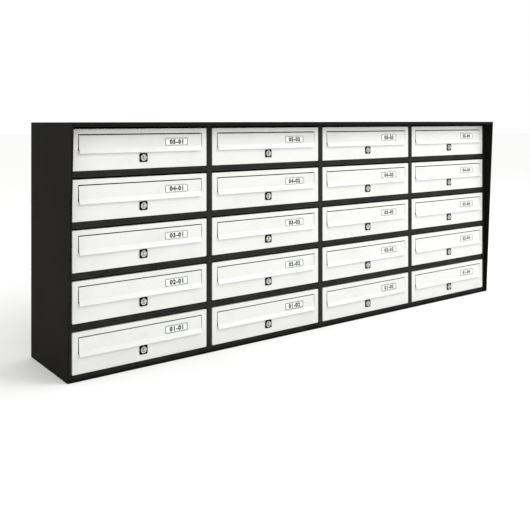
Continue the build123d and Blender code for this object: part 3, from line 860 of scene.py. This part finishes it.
whiteSlot, lockSlot = "white_powder_coat", "chrome_lock"
leafMesh = meshFrom("doorLeaf", buildLeaf, [whiteCoat], leafShape["edge"])
leafInsideMesh = meshFrom("doorLugs", buildLeafInside, [whiteCoat], leafShape["lugEdge"])
flapMesh = meshFrom("letterFlap", buildFlap, [whiteCoat], flapShape["edge"])
rodMesh = meshFrom("flapRod", buildRod, [zincSteel])
windowMesh = meshFrom("nameWindow", buildWindow, [clearAcrylic, acrylicRimWithPaintedShade])
cardMesh = meshFrom("nameCard", buildCard, [card])
plateMesh = meshFrom("lockPlate", buildLockPlate, [blackAbs])
barrelMesh = meshFrom("lockBarrel", buildBarrel, [nickel])
# the plug's second material is the painted shade of its groove and keyway
plugMesh = meshFrom("lockPlug", buildPlug, [nickel, keywayShade])
camMesh = meshFrom("lockCam", buildCam, [zincSteel], lockShape["camEdge"])
print("door, flap and lock meshes made")

columnSpots = sorted({round(doorSpot(number).x, 4) for number in boxNumbers})
rowSpots = sorted({round(doorSpot(number).z, 4) for number in boxNumbers})


def boxLabel(spot):
    floor = rowSpots.index(round(spot.z, 4)) + 1  # the lowest row is floor 1
    return f"0{floor}-0{columnSpots.index(round(spot.x, 4)) + 1}"


for number in boxNumbers:
    spot = doorSpot(number)
    door, flap = "door_" + number, "flap_" + number
    lockSpot = spot + Vector((0, 0, -lockDrop))
    place("doorLeaf_" + number, leafMesh, spot, door, whiteSlot, [door])
    place("doorLugs_" + number, leafInsideMesh, spot, door, whiteSlot)
    place("lockPlate_" + number, plateMesh, lockSpot, door, lockSlot)
    place("lockBarrel_" + number, barrelMesh, lockSpot, door, lockSlot)
    turns = number in turningLocks
    plugBody = "lock_plug_" + number if turns else door
    place("lockPlug_" + number, plugMesh, lockSpot, plugBody, lockSlot, [plugBody] if turns else [])
    place("lockCam_" + number, camMesh, lockSpot, plugBody, lockSlot)
    place("letterFlap_" + number, flapMesh, spot, flap, whiteSlot, [flap])
    place("flapRod_" + number, rodMesh, spot, flap, "steel_pin")
    place("nameWindow_" + number, windowMesh, spot, flap, whiteSlot)
    place("nameCard_" + number, cardMesh, spot, flap, whiteSlot)
    place("cardNumber_" + number, digitsMesh("cardNumber", boxLabel(spot)), spot, flap, whiteSlot)
print("boxes placed:", len(boxNumbers))

# casing: bent sheets with round folds, which replace the roof and the side panels

casingShape = {"sheet": 1.5, "hem": 4.5, "hemDepth": 6.0, "roofLip": 9.5, "roofReturn": 10.0, "fold": 1.55,
               "roofFold": 1.8, "play": 0.1, "edge": 0.25}
sideNodes = {"left_side_panel": -1, "right_side_panel": 1}
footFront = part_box("base_panel")[0].y  # the side panels' front edge at the floor


def buildSidePanel(side):
    def build(mesh):
        s = {name: value * mm for name, value in casingShape.items()}
        outer = bankHigh.x if side > 0 else bankLow.x
        stations = []
        for z, frontY in ((bankLow.z, footFront), (bankHigh.z, bankLow.y)):
            points = [(outer, bankHigh.y), (outer, frontY), (outer - side * s["hem"], frontY),
                      (outer - side * s["hem"], frontY + s["hemDepth"])]
            path = roundedPath(points, [s["fold"], s["fold"]])
            outline = thicken(path, -side * s["sheet"])
            stations.append([mesh.verts.new((x, y, z)) for x, y in outline])
        bridge(mesh, stations[0], stations[1])
        for station in stations:
            mesh.faces.new(station)
    return build


def buildRoof(mesh):
    s = {name: value * mm for name, value in casingShape.items()}
    low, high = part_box("roof_panel")
    room = s["hem"] - s["sheet"] + s["play"]  # the front corners are notched for the side panels' hems
    notchRear = bankLow.y + s["hemDepth"] + s["play"]
    points = [(notchRear, bankHigh.z), (bankLow.y, bankHigh.z), (bankLow.y, bankHigh.z - s["roofLip"]),
              (bankLow.y + s["roofReturn"], bankHigh.z - s["roofLip"])]
    path = [Vector((bankHigh.y, bankHigh.z))] + roundedPath(points, [s["roofFold"], s["roofFold"]], 6)
    outline = thicken(path, s["sheet"])
    last = len(outline) - 1
    for x, end in ((low.x + room, low.x), (high.x - room, high.x)):
        section = [mesh.verts.new((x, y, z)) for y, z in outline]
        corner = [section[i] for i in (0, 1, last - 1, last)]
        side = [mesh.verts.new((end, vertex.co.y, vertex.co.z)) for vertex in corner]
        bridge(mesh, side, corner)
        mesh.faces.new(side)
        mesh.faces.new(section[1:last])
    vertices = list(mesh.verts)
    half = len(vertices) // 2
    bridge(mesh, vertices[:last + 1], vertices[half:half + last + 1])


for node, side in sideNodes.items():
    name = "leftSidePanel" if side < 0 else "rightSidePanel"
    panelMesh = meshFrom(name, buildSidePanel(side), [darkCoat], casingShape["edge"])
    place(name, panelMesh, (0, 0, 0), "casing", "anthracite_powder_coat", [node])
roofMesh = meshFrom("roofPanel", buildRoof, [darkCoat], casingShape["edge"])
place("roofPanel", roofMesh, (0, 0, 0), "casing", "anthracite_powder_coat", ["roof_panel"])

# the casing's other nodes keep their CAD shape, with their sharp edges eased

keptNodes = {"base_panel": darkCoat, "back_panel": darkCoat, "column_dividers": zincSheet,
             "shelves": zincSheet, "mullions": barCoat, "side_jambs": barCoat, "door_rails": barCoat,
             "strike_strips": zincSheet, "door_bumpers": rubber, "door_hinge_pins": zincSteel,
             "frame_rivets": zincSteel}
easedEdges = {"mullions": 0.7, "side_jambs": 0.7, "door_rails": 0.35, "base_panel": 0.3, "back_panel": 0.2}
easedSteps, easedWeld = 3, 0.005

for name, material in keptNodes.items():
    node = frame["nodes"][name]
    node.data.materials.clear()
    node.data.materials.append(material)
    if name in easedEdges:
        weld = node.modifiers.new("weld", "WELD")
        weld.merge_threshold = easedWeld * mm
        bevel = node.modifiers.new("edge", "BEVEL")
        bevel.width = easedEdges[name] * mm
        bevel.segments = easedSteps
        bevel.limit_method = "ANGLE"
        bevel.angle_limit = math.radians(meshFinish["bevelAngle"])
        bevel.harden_normals = True
print("casing done")

# floor, light and camera

stageLook = {"floor": "#FCFCFB", "floorShade": "#F9F9F8", "speck": 180, "roughness": 0.95, "sheen": 0.1,
             "world": "#FFFFFF", "worldStrength": 1.0, "floorSize": 60.0}
floorMaterial, floorTree = newMaterial("mattSeamlessPaper")  # a roll of studio paper, with hardly any gloss
floorSpot = addNode(floorTree, "ShaderNodeTexCoord").outputs["Object"]
speck = addNode(floorTree, "ShaderNodeTexNoise",
                {"Scale": perMillimetre(stageLook["speck"]), "Detail": 3.0}, {"Vector": floorSpot})
floorColour = addNode(floorTree, "ShaderNodeValToRGB",
                      {"stops": [(0.3, linear(stageLook["floorShade"])), (0.7, linear(stageLook["floor"]))]},
                      {"Fac": speck.outputs["Fac"]}).outputs["Color"]
paper = addNode(floorTree, "ShaderNodeBsdfPrincipled",
                {"Roughness": stageLook["roughness"], "Specular IOR Level": stageLook["sheen"]},
                {"Base Color": floorColour})
addNode(floorTree, "ShaderNodeOutputMaterial", links={"Surface": paper.outputs[0]})
bpy.ops.mesh.primitive_plane_add(size=stageLook["floorSize"], location=(0, 0, bankLow.z))
floor = bpy.context.object
floor.name = "studioFloor"
floor.data.materials.append(floorMaterial)

world = bpy.data.worlds.new("studio")
bpy.context.scene.world = world
world.use_nodes = True
background = world.node_tree.nodes["Background"]
background.inputs["Color"].default_value = linear(stageLook["world"])
background.inputs["Strength"].default_value = stageLook["worldStrength"]

lamps = {"key": {"spot": (2.1, -2.5, 2.6), "size": 2.2, "power": 74},
         "fill": {"spot": (-1.3, -4.2, 1.1), "size": 2.0, "power": 11}}
lampAim = Vector((0, 0, 0.3))  # about the middle of the bank
for name, lamp in lamps.items():
    light = bpy.data.lights.new(name, "AREA")
    light.size = lamp["size"]
    light.energy = lamp["power"]
    holder = bpy.data.objects.new(name, light)
    bpy.context.scene.collection.objects.link(holder)
    holder.location = lamp["spot"]
    holder.rotation_euler = (lampAim - holder.location).to_track_quat("-Z", "Y").to_euler()

cameraPlace = {"sensor": 36, "lens": 49.8, "yaw": 36.7, "left": 0.651, "ahead": 1.650, "height": 0.614,
               "rise": -0.2728}
camera = bpy.data.objects.new("camera", bpy.data.cameras.new("camera"))
bpy.context.scene.collection.objects.link(camera)
camera.data.sensor_width = cameraPlace["sensor"]
camera.data.lens = cameraPlace["lens"]
camera.data.shift_y = cameraPlace["rise"]
camera.location = (bankLow.x - cameraPlace["left"], faceY - cameraPlace["ahead"], cameraPlace["height"])
camera.rotation_euler = Euler((math.radians(90), 0, -math.radians(cameraPlace["yaw"])))
bpy.context.scene.camera = camera
bpy.context.scene.view_settings.view_transform = "Standard"
print("stage, lamps and camera set")
